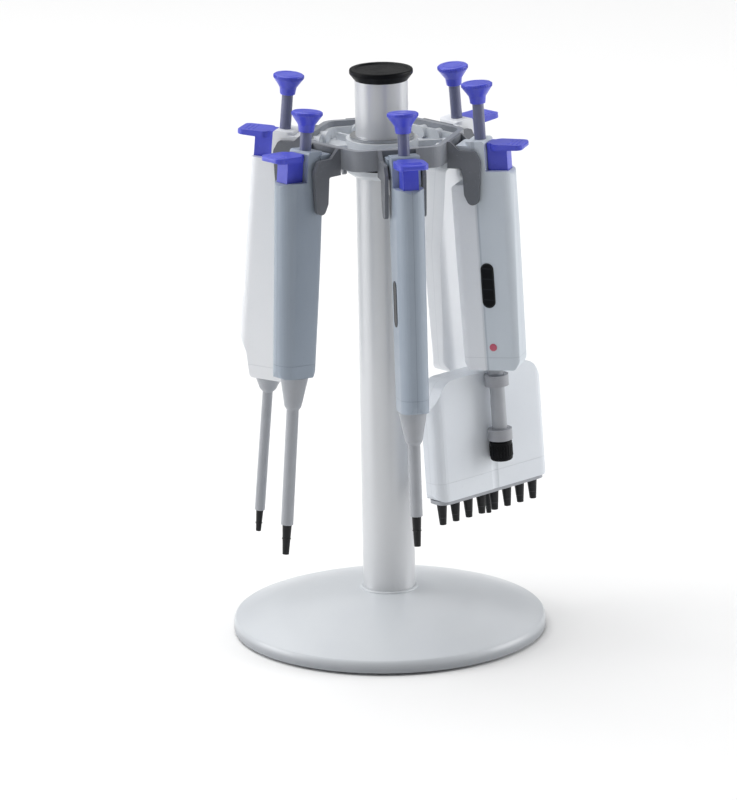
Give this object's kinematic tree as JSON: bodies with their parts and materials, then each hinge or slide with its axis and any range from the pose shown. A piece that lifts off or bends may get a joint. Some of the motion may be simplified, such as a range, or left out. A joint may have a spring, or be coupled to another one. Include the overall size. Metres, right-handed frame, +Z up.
{
  "type": "pipette carousel stand",
  "caption": "Bench carousel stand on a round weighted base: a turning hexagonal crown with hook hangers carrying hand pipettes, one of them multichannel.",
  "frame": {"origin": "centre of the base's underside, on the table", "axes": "+Z up along the column; -Y through hanger 1, +Y through the empty hanger 4"},
  "size_m": [0.169, 0.168, 0.3071],
  "materials": {
    "white_plastic": "satin moulded",
    "column_coat": "satin silver coat",
    "weight_steel": "zinc plated",
    "bolt_steel": "zinc plated",
    "pad_rubber": "matte",
    "black_plastic": "gloss",
    "bush_plastic": "machined",
    "hanger_plastic": "fine grain",
    "band_grey": "fine grain",
    "cover_pale": "fine satin",
    "handle_white": "fine satin",
    "handle_grey": "fine satin",
    "sleeve_grey": "satin",
    "tip_black": "satin",
    "pad_blue": "satin moulded",
    "plunger_grey": "satin",
    "window_black": "polished",
    "head_plastic": "fine satin"
  },
  "bodies": {
    "stand": {"base_cover": "white_plastic", "base_weight": "weight_steel", "base_pad": "pad_rubber", "column_bolt": "bolt_steel", "column": "column_coat", "foot_plug": "weight_steel", "support_ring": "white_plastic", "thrust_washer": "black_plastic", "retaining_ring": "bolt_steel", "top_cap": "black_plastic"},
    "carousel": {"rotor_crown": "white_plastic", "crown_band": "band_grey", "rotor_bush": "bush_plastic", "hanger_screws": "bolt_steel", "hanger_1": "hanger_plastic", "hanger_2": "hanger_plastic", "hanger_3": "hanger_plastic", "hanger_4": "hanger_plastic", "hanger_5": "hanger_plastic", "hanger_6": "hanger_plastic"},
    "pipette_1": {"pipette_1_handle": "handle_grey", "pipette_1_window": "window_black", "pipette_1_shaft": "tip_black"},
    "pipette_1_push_button": {"pipette_1_button": "pad_blue", "pipette_1_plunger": "plunger_grey"},
    "pipette_1_ejector": {"pipette_1_ejector_pad": "pad_blue", "pipette_1_ejector_sleeve": "sleeve_grey"},
    "pipette_3": {"pipette_3_handle": "handle_white", "pipette_3_window": "window_black", "pipette_3_shaft": "tip_black"},
    "pipette_3_push_button": {"pipette_3_button": "pad_blue", "pipette_3_plunger": "plunger_grey"},
    "pipette_3_ejector": {"pipette_3_ejector_pad": "pad_blue", "pipette_3_ejector_sleeve": "sleeve_grey"},
    "pipette_5": {"pipette_5_handle": "handle_white", "pipette_5_window": "window_black", "pipette_5_shaft": "tip_black"},
    "pipette_5_push_button": {"pipette_5_button": "pad_blue", "pipette_5_plunger": "plunger_grey"},
    "pipette_5_ejector": {"pipette_5_ejector_pad": "pad_blue", "pipette_5_ejector_sleeve": "sleeve_grey"},
    "pipette_6": {"pipette_6_handle": "handle_grey", "pipette_6_window": "window_black", "pipette_6_shaft": "tip_black"},
    "pipette_6_push_button": {"pipette_6_button": "pad_blue", "pipette_6_plunger": "plunger_grey"},
    "pipette_6_ejector": {"pipette_6_ejector_pad": "pad_blue", "pipette_6_ejector_sleeve": "sleeve_grey"},
    "multi": {"multi_handle": "handle_grey", "multi_rear_cover": "cover_pale", "multi_window": "window_black", "multi_shaft": "sleeve_grey", "multi_lock_knob": "black_plastic"},
    "multi_push_button": {"multi_button": "pad_blue", "multi_plunger": "plunger_grey"},
    "multi_ejector": {"multi_ejector_pad": "pad_blue"},
    "multi_manifold": {"multi_head": "head_plastic", "multi_nozzles": "tip_black"},
    "multi_comb": {"multi_ejector_comb": "head_plastic"}
  },
  "joints": [
    {"name": "carousel_turn", "type": "hinge", "parent": "stand", "child": "carousel", "pos_m": [0, 0, 0.265], "axis": [0, 0, 1], "continuous": true},
    {"name": "pipette_1_lift", "type": "slide", "parent": "carousel", "child": "pipette_1", "axis": [0, 0, 1], "range_m": [0, 0.0075]},
    {"name": "pipette_1_press", "type": "slide", "parent": "pipette_1", "child": "pipette_1_push_button", "axis": [0, -0.0906, -0.9959], "range_m": [0, 0.0095], "stiffness_N_per_m": 150, "springref_m": -0.008},
    {"name": "pipette_1_eject", "type": "slide", "parent": "pipette_1", "child": "pipette_1_ejector", "axis": [0, -0.0906, -0.9959], "range_m": [0, 0.006], "stiffness_N_per_m": 150, "springref_m": -0.008},
    {"name": "pipette_3_lift", "type": "slide", "parent": "carousel", "child": "pipette_3", "axis": [0, 0, 1], "range_m": [0, 0.0075]},
    {"name": "pipette_3_press", "type": "slide", "parent": "pipette_3", "child": "pipette_3_push_button", "axis": [0.0785, 0.0453, -0.9959], "range_m": [0, 0.016], "stiffness_N_per_m": 150, "springref_m": -0.008},
    {"name": "pipette_3_eject", "type": "slide", "parent": "pipette_3", "child": "pipette_3_ejector", "axis": [0.0785, 0.0453, -0.9959], "range_m": [0, 0.006], "stiffness_N_per_m": 150, "springref_m": -0.008},
    {"name": "pipette_5_lift", "type": "slide", "parent": "carousel", "child": "pipette_5", "axis": [0, 0, 1], "range_m": [0, 0.0075]},
    {"name": "pipette_5_press", "type": "slide", "parent": "pipette_5", "child": "pipette_5_push_button", "axis": [-0.0785, 0.0453, -0.9959], "range_m": [0, 0.0165], "stiffness_N_per_m": 150, "springref_m": -0.008},
    {"name": "pipette_5_eject", "type": "slide", "parent": "pipette_5", "child": "pipette_5_ejector", "axis": [-0.0785, 0.0453, -0.9959], "range_m": [0, 0.006], "stiffness_N_per_m": 150, "springref_m": -0.008},
    {"name": "pipette_6_lift", "type": "slide", "parent": "carousel", "child": "pipette_6", "axis": [0, 0, 1], "range_m": [0, 0.0075]},
    {"name": "pipette_6_press", "type": "slide", "parent": "pipette_6", "child": "pipette_6_push_button", "axis": [-0.0785, -0.0453, -0.9959], "range_m": [0, 0.0075], "stiffness_N_per_m": 150, "springref_m": -0.008},
    {"name": "pipette_6_eject", "type": "slide", "parent": "pipette_6", "child": "pipette_6_ejector", "axis": [-0.0785, -0.0453, -0.9959], "range_m": [0, 0.006], "stiffness_N_per_m": 150, "springref_m": -0.008},
    {"name": "multi_lift", "type": "slide", "parent": "carousel", "child": "multi", "axis": [0, 0, 1], "range_m": [0, 0.0075]},
    {"name": "multi_press", "type": "slide", "parent": "multi", "child": "multi_push_button", "axis": [0.0499, -0.0288, -0.9983], "range_m": [0, 0.017], "stiffness_N_per_m": 150, "springref_m": -0.008},
    {"name": "multi_eject", "type": "slide", "parent": "multi", "child": "multi_ejector", "axis": [0.0499, -0.0288, -0.9983], "range_m": [0, 0.006], "stiffness_N_per_m": 150, "springref_m": -0.008},
    {"name": "multi_head_turn", "type": "hinge", "parent": "multi", "child": "multi_manifold", "pos_m": [0.05392, -0.03113, 0.12633], "axis": [-0.0499, 0.0288, 0.9983], "continuous": true},
    {"name": "multi_comb_slide", "type": "slide", "parent": "multi_manifold", "child": "multi_comb", "axis": [0.0499, -0.0288, -0.9983], "range_m": [0, 0.006]}
  ],
  "couplings": [
    {"joint": "multi_comb_slide", "follows": "multi_eject", "ratio": 1}
  ]
}
